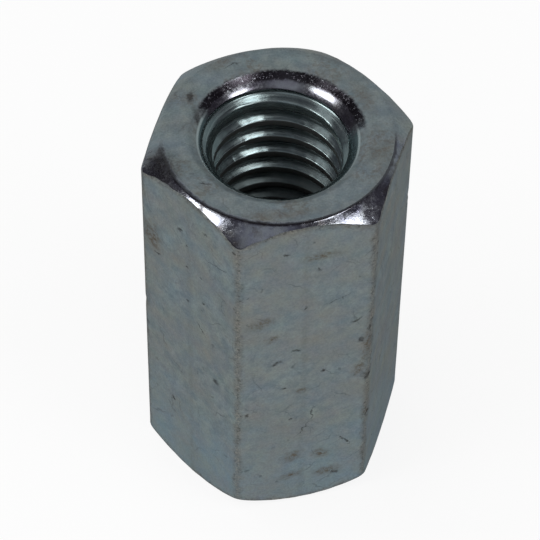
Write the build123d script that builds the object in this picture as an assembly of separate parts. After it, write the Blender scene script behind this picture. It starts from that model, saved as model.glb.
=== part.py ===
from build123d import *
import math
import os

# Coupling nut for M8 threaded rod, 24 mm long: one length of hexagonal bar, chamfered on a lathe
# at both ends, then drilled, countersunk and tapped right through.
# Millimetres. The origin is the middle of the lower end and +Z runs up the bore.
# One vertical edge of the hexagon points along +X and one flat faces -Y.

# The bar: the usual 13 mm size, at the middle of what its tolerance allows, and the soft
# vertical edges that drawing leaves on it.
across_flats = 12.85
edge_radius = 0.65
length = 24.0

# The turned ends: where the chamfer starts, measured in from the flats. It is slightly crowned,
# so its slope away from the end face grows from the first angle to the second.
# Across the flats it only nicks their ends, and on the corners it cuts deep scallops.
chamfer_inset = 0.275
chamfer_start_angle = 34.0
chamfer_finish_angle = 48.0

# The bore: the thread it is made for, and the countersink that leads a rod into it. The mouth
# stands out past the thread by the overhang. The cone slopes away from the end face by the
# angle, and rolls over into the bore with a wide soft throat.
thread_diameter = 8.0
thread_pitch = 1.25
countersink_overhang = 0.75
countersink_angle = 35.0
countersink_throat_radius = 2.0

# What follows from those sizes.
flat_radius = across_flats / 2
sharp_corner_radius = flat_radius / math.cos(math.radians(30))
end_face_radius = flat_radius - chamfer_inset
bore_radius = (thread_diameter - thread_pitch) / 2
countersink_radius = thread_diameter / 2 + countersink_overhang


def crowned_chamfer():
    """Start, middle and end of the arc that climbs from the end face out to the corners."""
    start = math.radians(chamfer_start_angle)
    finish = math.radians(chamfer_finish_angle)
    crown_radius = (sharp_corner_radius - end_face_radius) / (math.sin(finish) - math.sin(start))
    points = []
    for slope in (start, (start + finish) / 2, finish):
        out = end_face_radius + crown_radius * (math.sin(slope) - math.sin(start))
        up = crown_radius * (math.cos(start) - math.cos(slope))
        points.append((out, up))
    return points


def hexagonal_bar():
    """The drawn bar, cut to length, with its six rounded vertical edges."""
    with BuildPart() as bar:
        with BuildSketch():
            RegularPolygon(flat_radius, 6, major_radius=False)
        extrude(amount=length)
        fillet(bar.edges().filter_by(Axis.Z), edge_radius)
    return bar.part


def turned_outline():
    """What the lathe leaves: the corners' own cylinder, chamfered down to each end face."""
    foot, crown, shoulder = crowned_chamfer()
    top_foot, top_crown, top_shoulder = [(out, length - up) for out, up in (foot, crown, shoulder)]
    with BuildPart() as outline:
        with BuildSketch(Plane.XZ):
            with BuildLine():
                Line((0, 0), foot)
                ThreePointArc(foot, crown, shoulder)
                Line(shoulder, top_shoulder)
                ThreePointArc(top_shoulder, top_crown, top_foot)
                Polyline(top_foot, (0, length), (0, 0))
            make_face()
        revolve(axis=Axis.Z)
    return outline.part


def bore_and_countersinks():
    """The metal that drilling takes out: the hole before tapping, and a soft cone at each end."""
    cone_depth = (countersink_radius - bore_radius) * math.tan(math.radians(countersink_angle))
    with BuildPart() as drilled:
        with BuildSketch(Plane.XZ) as section:
            with BuildLine():
                Polyline(
                    (0, 0),
                    (countersink_radius, 0),
                    (bore_radius, cone_depth),
                    (bore_radius, length - cone_depth),
                    (countersink_radius, length),
                    (0, length),
                    close=True,
                )
            make_face()
            throats = [at for at in section.vertices() if math.isclose(at.X, bore_radius)]
            fillet(throats, countersink_throat_radius)
        revolve(axis=Axis.Z)
    return drilled.part


def coupling_nut():
    """The finished nut. Each chamfer leaves a curved edge where it meets the flats."""
    return (hexagonal_bar() & turned_outline()) - bore_and_countersinks()


nut = coupling_nut()
nut.label = "coupling_nut"

os.makedirs("parts", exist_ok=True)
export_step(nut, "parts/coupling_nut.step")

bore_wall = nut.faces().filter_by(GeomType.CYLINDER).sort_by(SortBy.AREA)[-1]
print("across corners", round(nut.bounding_box().size.X, 3))
print("end face diameter", round(2 * end_face_radius, 3))
print("bore diameter", round(2 * bore_radius, 3))
print("plain bore length", round(bore_wall.bounding_box().size.Z, 4))
print("volume", round(nut.volume, 1))
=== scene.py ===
import logging
import math
from dataclasses import dataclass, replace
from enum import Enum, IntEnum
from typing import ClassVar

import bpy
import numpy as np
from mathutils import Matrix, Quaternion, Vector

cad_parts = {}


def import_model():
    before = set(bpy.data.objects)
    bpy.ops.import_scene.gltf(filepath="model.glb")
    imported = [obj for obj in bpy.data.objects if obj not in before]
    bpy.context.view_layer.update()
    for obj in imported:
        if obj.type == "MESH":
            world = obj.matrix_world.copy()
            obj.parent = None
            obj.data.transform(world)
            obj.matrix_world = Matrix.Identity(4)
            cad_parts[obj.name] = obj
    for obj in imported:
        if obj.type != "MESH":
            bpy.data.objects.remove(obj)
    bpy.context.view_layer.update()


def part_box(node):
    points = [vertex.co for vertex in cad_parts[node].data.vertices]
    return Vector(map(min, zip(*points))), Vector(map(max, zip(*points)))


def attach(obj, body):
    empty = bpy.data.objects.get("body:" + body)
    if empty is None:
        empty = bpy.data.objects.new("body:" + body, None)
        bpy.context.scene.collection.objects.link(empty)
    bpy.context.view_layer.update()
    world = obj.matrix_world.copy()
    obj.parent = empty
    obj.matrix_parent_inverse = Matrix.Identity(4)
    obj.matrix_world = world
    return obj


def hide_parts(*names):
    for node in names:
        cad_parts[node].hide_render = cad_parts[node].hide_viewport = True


# A zinc-plated coupling nut for M8 threaded rod, standing on one end in a plain pale studio.
# Metres throughout, with +Z up the bore and one flat of the hexagon facing -Y.
MM = 0.001
SIDES = 6
SECTOR = math.tau / SIDES

# What feeds a node's input: the output of another node, or a plain number, vector or colour.
Source = bpy.types.NodeSocket | float | tuple | Vector
# Red, green, blue and opacity, as shares of full light.
Colour = tuple[float, float, float, float]
WHITE: Colour = (1.0, 1.0, 1.0, 1.0)


def on_cylinder(radii: np.ndarray, angles: np.ndarray, heights: np.ndarray | float) -> np.ndarray:
    """Finds the places that lie at some radii and angles round the bore.

    Args:
        radii: Distances from the axis.
        angles: Directions round from +X, in radians.
        heights: Heights above the lower end.

    Returns:
        The places, with x, y and z in the last axis.
    """
    return np.stack(np.broadcast_arrays(radii * np.cos(angles), radii * np.sin(angles), heights), axis=-1)


def turn_from(direction: float, angles: np.ndarray) -> np.ndarray:
    """The shortest turns from one direction to some angles, all in radians."""
    return (angles - direction + math.pi) % math.tau - math.pi


def toward(azimuth: float, elevation: float) -> Vector:
    """The direction at some degrees round from +X, and some degrees up."""
    turn, rise = math.radians(azimuth), math.radians(elevation)
    return Vector((math.cos(turn) * math.cos(rise), math.sin(turn) * math.cos(rise), math.sin(rise)))


def add_object(name: str, data: bpy.types.ID) -> bpy.types.Object:
    """Puts a mesh, a lamp or a camera into the scene.

    Args:
        name: What to call the object.
        data: What it shows.

    Returns:
        The object.
    """
    added = bpy.data.objects.new(name, data)
    bpy.context.scene.collection.objects.link(added)
    return added


class Surface(IntEnum):
    """How each stretch of the nut was made, in the order of the material slots."""

    DRAWN_FLAT = 0
    FACED_END = 1
    TURNED_CHAMFER = 2
    COUNTERSINK = 3
    TAPPED_THREAD = 4


@dataclass(frozen=True)
class Waves:
    """Seeded smooth unevenness, as a tool or a drawing die leaves it, from -1 to 1 or so.

    Attributes:
        seed: Fixes the waves, so that each run gives the same ones.
        wavelength: The usual distance from crest to crest.
        count: How many waves are added up.
    """

    seed: int
    wavelength: float
    count: int = 14

    def at(self, points: np.ndarray) -> np.ndarray:
        """Measures the unevenness.

        Args:
            points: Places in space, with x, y and z in the last axis.

        Returns:
            One value for each point.
        """
        random = np.random.default_rng(self.seed)
        directions = random.normal(size=(self.count, 3))
        directions /= np.linalg.norm(directions, axis=1)[:, None]
        rates = math.tau / self.wavelength * random.uniform(0.6, 1.6, self.count)
        starts = random.uniform(0.0, math.tau, self.count)
        phases = points @ (directions * rates[:, None]).T + starts
        return np.sin(phases).sum(axis=-1) / math.sqrt(self.count / 2) / 2


def bend(start: tuple, corner: tuple, end: tuple, steps: int) -> list[tuple]:
    """Rounds a corner off.

    Args:
        start: Where the rounding starts, as radius and depth. Either may be an array.
        corner: The sharp corner that it leaves out.
        end: Where it ends.
        steps: How many faces go round it.

    Returns:
        The points round it, with both ends.
    """
    points = []
    for share in np.linspace(0.0, 1.0, steps + 1):
        weights = ((1 - share) ** 2, 2 * share * (1 - share), share**2)
        places = zip(start, corner, end)
        points.append(tuple(sum(weight * part for weight, part in zip(weights, parts)) for parts in places))
    return points


@dataclass(frozen=True)
class CrownedWall:
    """A turned wall that leaves an end face at one slope and steepens to another.

    Attributes:
        foot_radius: Where it leaves the end face.
        far_radius: Where it ends, further out.
        start_slope: Its slope at the foot, in degrees from the end face.
        finish_slope: Its slope at the far end, in degrees.
    """

    foot_radius: float
    far_radius: float
    start_slope: float
    finish_slope: float

    @property
    def arc_radius(self) -> float:
        """The crown's own radius."""
        rise = math.sin(math.radians(self.finish_slope)) - math.sin(math.radians(self.start_slope))
        return (self.far_radius - self.foot_radius) / rise

    def slope_at(self, radius: np.ndarray) -> np.ndarray:
        """The wall's slope in radians at some radii."""
        run = (radius - self.foot_radius) / self.arc_radius
        return np.arcsin(np.clip(math.sin(math.radians(self.start_slope)) + run, 0.0, 1.0))

    def depth_at(self, radius: np.ndarray) -> np.ndarray:
        """How far below the end face the wall lies at some radii."""
        start = math.cos(math.radians(self.start_slope))
        return self.arc_radius * (start - np.cos(self.slope_at(radius)))

    def foot_rings(self, softness: float, inward: np.ndarray, steps: int = 5) -> list[tuple]:
        """Lays rings over the rounded edge at the wall's foot.

        Args:
            softness: How far the rounding runs up the wall.
            inward: How far it runs in over the end face, at each column.
            steps: How many faces go round it.

        Returns:
            Radius and depth of the rings, going outward.
        """
        far = self.foot_radius + softness
        end = (far, self.depth_at(far))
        return bend((self.foot_radius - inward, 0.0), (self.foot_radius, 0.0), end, steps)


@dataclass(frozen=True)
class Countersink:
    """The opening that leads a rod in: a cone whose throat rolls over into the bore.

    Attributes:
        mouth_radius: Where the cone leaves the end face.
        bore_radius: The plain hole that it leads to.
        slope: The cone's slope, in degrees from the end face.
        throat_radius: The rounding where the cone turns down into the hole.
        lip: How far the mouth's edge is rounded, along the cone and along the end face.
        crown: How far the cone swells just before the throat, where the tool lost its edge.
        crown_width: How wide that swelling is.
        crown_place: How far up the cone from the throat its middle lies, in its own widths.
    """

    mouth_radius: float
    bore_radius: float
    slope: float
    throat_radius: float
    lip: float = 0.16 * MM
    crown: float = 0.011 * MM
    crown_width: float = 0.14 * MM
    crown_place: float = 0.6

    @property
    def throat(self) -> tuple[float, float]:
        """Radius and depth of the line where the cone ends and the throat begins."""
        radius = self.bore_radius + self.throat_radius * (1.0 - math.sin(math.radians(self.slope)))
        return radius, (self.mouth_radius - radius) * math.tan(math.radians(self.slope))

    @property
    def full_depth(self) -> float:
        """How far down the throat meets the plain hole."""
        return self.throat[1] + self.throat_radius * math.cos(math.radians(self.slope))

    def radius_at(self, depth: np.ndarray) -> np.ndarray:
        """Finds the wall's radius at some depths.

        Args:
            depth: Depths below the end face.

        Returns:
            The radius at each.
        """
        throat, throat_depth = self.throat
        slope = math.radians(self.slope)
        cone = self.mouth_radius - depth / math.tan(slope)
        cosine = math.cos(slope) - (depth - throat_depth) / self.throat_radius
        arc = self.bore_radius + self.throat_radius * (1.0 - np.sqrt(1.0 - np.clip(cosine, 0.0, 1.0) ** 2))
        wall = np.where(depth < throat_depth, cone, arc)
        from_crown = (wall - throat) / self.crown_width - self.crown_place
        return wall - self.crown * np.exp(-(from_crown**2))

    def lip_rings(self, steps: int = 5) -> list[tuple]:
        """Lays rings over the mouth's rounded edge.

        Args:
            steps: How many faces go round it.

        Returns:
            Radius and depth of the rings, from the cone outward.
        """
        slope = math.radians(self.slope)
        inner = (self.mouth_radius - self.lip * math.cos(slope), self.lip * math.sin(slope))
        return bend(inner, (self.mouth_radius, 0.0), (self.mouth_radius + self.lip, 0.0), steps)


@dataclass(frozen=True)
class HexagonBar:
    """The drawn bar's outline: a hexagon with soft corners, the first corner along +X.

    Attributes:
        flat_radius: From the axis to a flat.
        edge_radius: The rounding of the vertical edges.
        corner_steps: Columns of faces round each corner.
        flat_steps: Columns of faces across each flat.
        edge_margin: Width of the narrow column beside each corner.
    """

    flat_radius: float
    edge_radius: float
    corner_steps: int = 8
    flat_steps: int = 24
    edge_margin: float = 0.07 * MM

    @property
    def half_flat(self) -> float:
        """Half the width of a flat, up to where its corner starts to round."""
        return (self.flat_radius - self.edge_radius) * math.tan(SECTOR / 2)

    def columns(self) -> tuple[np.ndarray, np.ndarray, np.ndarray]:
        """Walks once round the outline.

        Returns:
            Each column's angle, its radius, and its distance from the nearest corner's middle.
        """
        centre = (self.flat_radius - self.edge_radius) / math.cos(SECTOR / 2)
        turn = np.linspace(-SECTOR / 2, SECTOR / 2, self.corner_steps + 1)
        corner = centre + self.edge_radius * np.exp(1j * turn)
        reach = self.half_flat - self.edge_margin
        inner = np.linspace(-reach, reach, self.flat_steps - 1)
        flat = (self.flat_radius + 1j * inner) * np.exp(1j * SECTOR / 2)
        sector = np.concatenate([corner, flat])
        from_corner = self.edge_radius * SECTOR / 2 + self.half_flat - np.abs(inner)
        away = np.concatenate([self.edge_radius * np.abs(turn), from_corner])
        points = np.concatenate([sector * np.exp(1j * SECTOR * k) for k in range(SIDES)])
        angles = np.unwrap(np.angle(points))
        return angles, np.abs(points), np.tile(away, SIDES)


@dataclass(frozen=True)
class TappedThread:
    """A right-handed metric thread form, cut into a bore.

    Attributes:
        pitch: From one ridge to the next.
        root_radius: The bottom of the groove, half the thread's nominal size.
        crest_radius: The top of the ridge, where the drilled hole was.
        crest_below_end: Depth of the first ridge under the upper end, at the angle below.
        crest_angle: The direction, in degrees round the bore, where that depth was read.
        crest_half_width: Half the flat top of a ridge.
        inner_slope: The flank's slope beside the ridge, in degrees from square to the axis.
        outer_slope: The flank's slope in the groove, in degrees.
        break_radius: Where the slope changes.
        tear: How ragged the tap leaves the ridge.
        tear_rise: The share of that raggedness that is worn off the ridge's top.
        corner: How softly the ridge's corners are rounded.
        ROW_PHASES: Places of the vertex rows from the middle of one ridge to the next, in pitches.
    """

    pitch: float = 1.25 * MM
    root_radius: float = 4.0 * MM
    crest_radius: float = 3.375 * MM
    crest_below_end: float = 2.79 * MM
    crest_angle: float = 75.5
    crest_half_width: float = 0.186 * MM
    inner_slope: float = 29.0
    outer_slope: float = 30.0
    break_radius: float = 3.70 * MM
    tear: float = 0.012 * MM
    tear_rise: float = 0.35
    corner: float = 0.03 * MM

    ROW_PHASES: ClassVar[tuple[float, ...]] = (
        0.0, 0.09, 0.13, 0.149, 0.17, 0.205, 0.245, 0.29, 0.325, 0.365,
        0.41, 0.45, 0.50, 0.57, 0.62, 0.67, 0.72, 0.78, 0.851, 0.91,
    )

    def radius_at(self, offset: np.ndarray) -> np.ndarray:
        """Finds the wall's radius at some distances from the middle of a ridge.

        Args:
            offset: The distances, along the axis.

        Returns:
            The radius at each.
        """
        out = np.abs(offset) - self.crest_half_width
        to_break = (self.break_radius - self.crest_radius) * math.tan(math.radians(self.inner_slope))
        inner = self.crest_radius + out / math.tan(math.radians(self.inner_slope))
        outer = self.break_radius + (out - to_break) / math.tan(math.radians(self.outer_slope))
        flank = np.minimum(inner, outer)
        return soft_least(soft_most(flank, self.crest_radius, self.corner), self.root_radius, self.corner)


def soft_most(first: np.ndarray, second: np.ndarray | float, width: float) -> np.ndarray:
    """The larger of two values, with the corner between them rounded off.

    Args:
        first: Values to compare.
        second: The values to compare them with.
        width: How near the two are where the rounding starts.

    Returns:
        The larger of each pair, or a little more near a tie.
    """
    near = np.maximum(width - np.abs(first - second), 0.0) / width
    return np.maximum(first, second) + near**2 * width / 4


def soft_least(first: np.ndarray, second: np.ndarray | float, width: float) -> np.ndarray:
    """The smaller of two values, rounded as soft_most rounds the larger."""
    return -soft_most(-first, -second, width)


@dataclass(frozen=True)
class Nick:
    """A small blow that flattened part of a vertical edge.

    Attributes:
        corner: Which edge, counted anticlockwise from +X.
        height: Its middle above the lower end.
        length: How far it runs along the edge.
        depth: How deep it goes.
    """

    corner: int
    height: float
    length: float
    depth: float


@dataclass(frozen=True)
class Burr:
    """A speck of metal that the tap left standing on a ridge.

    Attributes:
        azimuth: Its direction, in degrees round the bore.
        height: Its middle above the lower end.
        reach: How far it spreads.
        rise: How far it stands out.
    """

    azimuth: float
    height: float
    reach: float
    rise: float


@dataclass(frozen=True)
class Skin:
    """Rings of vertices that cover the nut's outside, from the upper mouth to the lower one.

    Attributes:
        radii: Radius of each vertex, by row and column.
        heights: Height of each vertex, by row and column.
        edges: Closeness to a worn edge, from 0 to 1, by row and column.
        surfaces: The surface between each row and the next.
    """

    radii: np.ndarray
    heights: np.ndarray
    edges: np.ndarray
    surfaces: list[Surface]


@dataclass(frozen=True)
class NutBody:
    """The nut, made in one piece: hexagon outside, faced and chamfered ends, tapped bore.

    Attributes:
        bar: The outline that it was cut from.
        length: From end to end.
        chamfer: The turned wall that takes off the corners.
        countersink: The turned wall that leads a rod into the thread.
        thread: The thread in the bore.
        edge_softness: How far the edges between chamfers and flats are rounded.
        edge_waver: How much that varies from place to place, as a share.
        foot_softness: How far the edges between chamfers and end faces are rounded.
        rolled_over: How much further those edges roll in over the end face on one side.
        rolled_waver: How much that varies from place to place, as a share.
        rolled_toward: The middle of that side, in degrees round from +X.
        face_steps: Rings of faces across the flat part of each end.
        wall_rows: Rows of faces up each flat.
        wear_reach: How far wear spreads from an edge.
        flat_unevenness: How far the flats stray inward from true.
        nick_reach: How far a nick spreads to each side of its edge, in degrees.
        chatter_depth: How far the countersink's wall wavers.
        turned_down_to: Radius inside which even the countersunk ridge has the thread's finish.
        ring_softness: How softly the thread runs out into the countersink.
        CHAMFER_SHARES: Where the chamfer's rings lie between its foot and its edge.
        EDGE_SHARES: Where the rings round that edge lie.
        NICKS: The blows along the vertical edges, by corner, height, length and depth.
        BURR: The one burr in the thread.
    """

    bar: HexagonBar
    length: float
    chamfer: CrownedWall
    countersink: Countersink
    thread: TappedThread
    edge_softness: float = 0.07 * MM
    edge_waver: float = 0.55
    foot_softness: float = 0.08 * MM
    rolled_over: float = 0.22 * MM
    rolled_waver: float = 0.3
    rolled_toward: float = -145.0
    face_steps: int = 5
    wall_rows: int = 84
    wear_reach: float = 0.55 * MM
    flat_unevenness: float = 0.006 * MM
    nick_reach: float = 3.4
    chatter_depth: float = 0.0015 * MM
    turned_down_to: float = 3.7 * MM
    ring_softness: float = 0.05 * MM

    CHAMFER_SHARES: ClassVar[tuple[float, ...]] = (0.0, 0.1, 0.25, 0.42, 0.6, 0.78, 0.92)
    EDGE_SHARES: ClassVar[tuple[float, ...]] = (0.0, 0.33, 0.67, 1.0)
    NICKS: ClassVar[tuple[Nick, ...]] = (
        Nick(4, 15.6 * MM, 0.9 * MM, 0.05 * MM),
        Nick(4, 9.1 * MM, 0.5 * MM, 0.035 * MM),
        Nick(4, 19.2 * MM, 0.4 * MM, 0.03 * MM),
        Nick(5, 15.0 * MM, 0.8 * MM, 0.06 * MM),
        Nick(5, 10.3 * MM, 0.5 * MM, 0.05 * MM),
        Nick(5, 6.2 * MM, 0.7 * MM, 0.03 * MM),
        Nick(3, 12.4 * MM, 0.6 * MM, 0.04 * MM),
        Nick(0, 17.5 * MM, 0.8 * MM, 0.04 * MM),
        Nick(1, 8.3 * MM, 0.7 * MM, 0.05 * MM),
        Nick(2, 14.1 * MM, 0.5 * MM, 0.04 * MM),
    )
    BURR: ClassVar[Burr] = Burr(azimuth=-8.0, height=22.17 * MM, reach=0.16 * MM, rise=0.08 * MM)

    def end_rows(self, angles: np.ndarray, outline: np.ndarray,
                 unevenness: np.ndarray) -> tuple[list, list, list]:
        """Lays rings over one end, from the mouth of the bore to just down the wall.

        Args:
            angles: The columns' angles.
            outline: Radius of the hexagon at each column.
            unevenness: How much softer or sharper than usual the edge is, at each column.

        Returns:
            The rings' radii and depths, and the surface that follows each ring.
        """
        whole = np.ones_like(outline)
        lip = self.countersink.lip_rings()
        rolled = np.clip(np.cos(angles - math.radians(self.rolled_toward)), 0.0, 1.0) ** 2
        inward = self.foot_softness + self.rolled_over * rolled * (1.0 + self.rolled_waver * unevenness)
        rim = self.chamfer.foot_rings(self.foot_softness, inward)
        flat_radii = list(np.linspace(lip[-1][0] * whole, rim[0][0], self.face_steps + 1)[1:-1])
        rings = lip + [(radius, 0.0) for radius in flat_radii] + rim[:-1]
        radii = [radius * whole for radius, _ in rings]
        depths = [depth * whole for _, depth in rings]
        surfaces = [Surface.COUNTERSINK] * len(lip) + [Surface.FACED_END] * len(flat_radii)
        surfaces += [Surface.TURNED_CHAMFER] * (len(rim) - 1)

        slope = self.chamfer.slope_at(outline)
        edge = np.stack([outline, self.chamfer.depth_at(outline)])
        reach = self.edge_softness * (1.0 + self.edge_waver * unevenness)
        before = edge - reach * np.stack([np.cos(slope), np.sin(slope)])
        after = edge + reach * np.stack([0.0 * slope, whole])
        start = rim[-1][0]
        for share in self.CHAMFER_SHARES:
            ring = start + (before[0] - start) * share
            radii.append(ring)
            depths.append(self.chamfer.depth_at(ring))
            surfaces.append(Surface.TURNED_CHAMFER)
        for share in self.EDGE_SHARES:
            ring = (1 - share) ** 2 * before + 2 * share * (1 - share) * edge + share**2 * after
            radii.append(ring[0])
            depths.append(ring[1])
            surfaces.append(Surface.DRAWN_FLAT)
        return radii, depths, surfaces

    def wall_wear(self, angles: np.ndarray, outline: np.ndarray, heights: np.ndarray) -> np.ndarray:
        """Works out how far the flats and edges lie inside the true hexagon.

        Args:
            angles: The columns' angles.
            outline: The columns' true radii.
            heights: Height of each vertex, by row and column.

        Returns:
            The distance to pull each vertex in, by row and column.
        """
        points = on_cylinder(outline, angles, heights)
        waves = Waves(seed=11, wavelength=5.5 * MM).at(points)
        waves = waves + 0.5 * Waves(seed=12, wavelength=1.9 * MM).at(points)
        inward = self.flat_unevenness * np.clip(0.5 + 0.5 * waves, 0.0, 1.0)
        for nick in self.NICKS:
            offset = turn_from(nick.corner * SECTOR, angles)
            round_edge = np.exp(-((offset / math.radians(self.nick_reach)) ** 2))
            ragged = 1.0 + 0.5 * Waves(seed=nick.corner + 31, wavelength=0.5 * MM).at(points)
            along_edge = np.exp(-(((heights - nick.height) / nick.length * 2) ** 2))
            inward = inward + nick.depth * ragged * round_edge * along_edge
        clear = np.minimum(heights, self.length - heights) - self.chamfer.depth_at(outline)
        fade = 0.6 * MM
        return inward * np.clip(clear / fade, 0.0, 1.0)

    def skin(self, angles: np.ndarray, outline: np.ndarray, away: np.ndarray) -> Skin:
        """Covers the nut's outside with rings of vertices.

        Args:
            angles: The columns' angles.
            outline: The columns' radii.
            away: The columns' distances from the middle of a corner.

        Returns:
            The rings, from the upper mouth out, down and back in to the lower mouth.
        """
        around = on_cylinder(outline, angles, 0.0)
        (upper_radii, upper_depths, upper_surfaces), (lower_radii, lower_depths, lower_surfaces) = (
            self.end_rows(angles, outline, Waves(seed, wavelength=1.1 * MM).at(around))
            for seed in (21, 22))
        top = self.length - upper_depths[-1]
        bottom = lower_depths[-1]
        # One row lies close to each rounded edge, and the others are evenly spread between them.
        first, second = 0.1 * MM / self.length, 0.35 * MM / self.length
        shares = np.concatenate([[first], np.linspace(second, 1 - second, self.wall_rows - 3), [1 - first]])
        wall_heights = top + (bottom - top) * shares[:, None]
        wall_radii = outline - self.wall_wear(angles, outline, wall_heights)
        radii = np.concatenate([upper_radii, wall_radii, lower_radii[::-1]])
        heights = np.concatenate([self.length - np.array(upper_depths), wall_heights, lower_depths[::-1]])
        surfaces = upper_surfaces + [Surface.DRAWN_FLAT] * len(wall_radii) + lower_surfaces[-2::-1]
        return Skin(radii, heights, self.edge_closeness(outline, away, radii, heights), surfaces)

    def edge_closeness(self, outline: np.ndarray, away: np.ndarray, radii: np.ndarray,
                       heights: np.ndarray) -> np.ndarray:
        """Says how near each vertex is to an edge that hands and spanners rub.

        Args:
            outline: The columns' radii.
            away: The columns' distances from the middle of a corner.
            radii: Radius of each vertex, by row and column.
            heights: Height of each vertex, by row and column.

        Returns:
            1 on an edge, fading to 0 where wear doesn't reach.
        """
        depths = np.minimum(heights, self.length - heights)
        rim = self.chamfer.depth_at(outline)
        to_rim = np.hypot(outline - radii, rim - depths)
        margin, far_away = 0.05 * MM, 1.0
        to_corner = np.where(depths > rim - margin, away, far_away)
        nearest = np.minimum(to_rim, to_corner)
        return np.clip(1.0 - nearest / self.wear_reach, 0.0, 1.0)

    def bore_rows(self, angles: np.ndarray) -> tuple[np.ndarray, np.ndarray, np.ndarray]:
        """Winds rows of vertices up the thread, from below the lower end to above the upper one.

        Args:
            angles: The columns' angles.

        Returns:
            Each vertex's radius and height, and whether the countersink has cut there.
        """
        thread = self.thread
        climbed = thread.pitch * math.radians(thread.crest_angle) / math.tau
        datum = self.length - thread.crest_below_end - climbed
        first_turn = -math.ceil(datum / thread.pitch) - 2
        turns = math.ceil(self.length / thread.pitch) + 4
        phases = np.array(thread.ROW_PHASES)
        rows = (first_turn + np.arange(turns)[:, None] + phases).reshape(-1)
        offsets = np.tile(np.minimum(phases, 1 - phases) * thread.pitch, turns)
        heights = datum + thread.pitch * (rows[:, None] + angles / math.tau)
        points = on_cylinder(thread.root_radius, angles, heights)
        tear = Waves(seed=41, wavelength=0.7 * MM).at(points)
        tear = thread.tear * (tear + 0.7 * Waves(seed=42, wavelength=0.3 * MM).at(points))
        on_ridge = np.clip(1.5 - 4 * np.abs(offsets / thread.pitch), 0.0, 1.0)[:, None]
        thread_radii = thread.radius_at(offsets[:, None] + tear * on_ridge)
        thread_radii = thread_radii + thread.tear_rise * np.abs(tear) * on_ridge
        depths = np.minimum(heights, self.length - heights)
        below_lip = np.clip(depths / (0.3 * MM) - 0.3, 0.0, 1.0)
        chatter = self.chatter_depth * Waves(seed=43, wavelength=0.45 * MM).at(points) * below_lip
        turned_radii = self.countersink.radius_at(np.maximum(depths, 0.0)) + chatter
        turned_radii = np.where(depths > self.countersink.full_depth, 0.0, turned_radii)
        around = turn_from(math.radians(self.BURR.azimuth), angles) * thread.crest_radius
        from_burr = np.hypot(around, heights - self.BURR.height) / self.BURR.reach
        thread_radii = thread_radii - self.BURR.rise * np.exp(-(from_burr**2))
        radii = soft_most(thread_radii, turned_radii, self.ring_softness)
        is_turned = (turned_radii > thread_radii) & (radii > self.turned_down_to)
        return radii, heights, is_turned

    def faces(self, skin: Skin, columns: int, heights: np.ndarray,
              turned: np.ndarray) -> tuple[list, list, np.ndarray]:
        """Joins the rings outside and the winding rows inside into one closed mesh.

        Args:
            skin: The rings outside.
            columns: How many columns there are round the nut.
            heights: Height of each vertex in the bore, by row and column.
            turned: Whether the countersink has cut each of them.

        Returns:
            The faces, the surface of each, and which vertices of the bore are used.
        """
        faces, surfaces = [], []
        for row, surface in enumerate(skin.surfaces):
            for column in range(columns):
                after = (column + 1) % columns
                faces.append((row * columns + column, (row + 1) * columns + column,
                              (row + 1) * columns + after, row * columns + after))
                surfaces.append(surface)
        start = skin.radii.size
        # Vertices of the bore that lie beyond the rounded mouth fall together with its first ring.
        near_end = self.countersink.lip_rings()[0][1] + 0.012 * MM
        own = (heights > near_end) & (heights < self.length - near_end)
        numbers = np.where(own, start + np.cumsum(own.reshape(-1)).reshape(own.shape) - 1, 0)
        ring = np.arange(columns)
        numbers = np.where(heights >= self.length - near_end, ring, numbers)
        numbers = np.where(heights <= near_end, start - columns + ring, numbers)
        per_turn = len(self.thread.ROW_PHASES)
        last_row = len(heights) - per_turn - 1
        for row in range(last_row):
            for column in range(columns):
                wraps = column + 1 == columns
                after = (row + per_turn, 0) if wraps else (row, column + 1)
                above = (after[0] + 1, after[1])
                places = ((row, column), (row + 1, column), above, after)
                corners = list(dict.fromkeys(int(numbers[place]) for place in places))
                if len(corners) > 2:
                    faces.append(tuple(corners))
                    is_turned = sum(bool(turned[place]) for place in places) > 2
                    surfaces.append(Surface.COUNTERSINK if is_turned else Surface.TAPPED_THREAD)
        return faces, surfaces, own

    def build(self) -> bpy.types.Object:
        """Makes the nut's mesh.

        Returns:
            The nut as one object, linked into the scene.
        """
        angles, outline, away = self.bar.columns()
        columns = len(angles)
        skin = self.skin(angles, outline, away)
        radii, heights, turned = self.bore_rows(angles)
        faces, surfaces, own = self.faces(skin, columns, heights, turned)
        outside, inside = np.tile(angles, len(skin.radii)), np.broadcast_to(angles, own.shape)[own]
        all_angles = np.concatenate([outside, inside])
        all_radii = np.concatenate([skin.radii.reshape(-1), radii[own]])
        all_heights = np.concatenate([skin.heights.reshape(-1), heights[own]])
        mesh = bpy.data.meshes.new("nut_body")
        mesh.from_pydata(on_cylinder(all_radii, all_angles, all_heights).tolist(), [], faces)
        mesh.polygons.foreach_set("material_index", np.array(surfaces, np.int32))
        mesh.polygons.foreach_set("use_smooth", np.ones(len(faces), bool))
        closeness = np.concatenate([skin.edges.reshape(-1), np.zeros(int(own.sum()))])
        edge = mesh.attributes.new("edge", "FLOAT", "POINT")
        edge.data.foreach_set("value", closeness.astype(np.float32))
        mesh.update()
        return add_object("nut_body", mesh)


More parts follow.
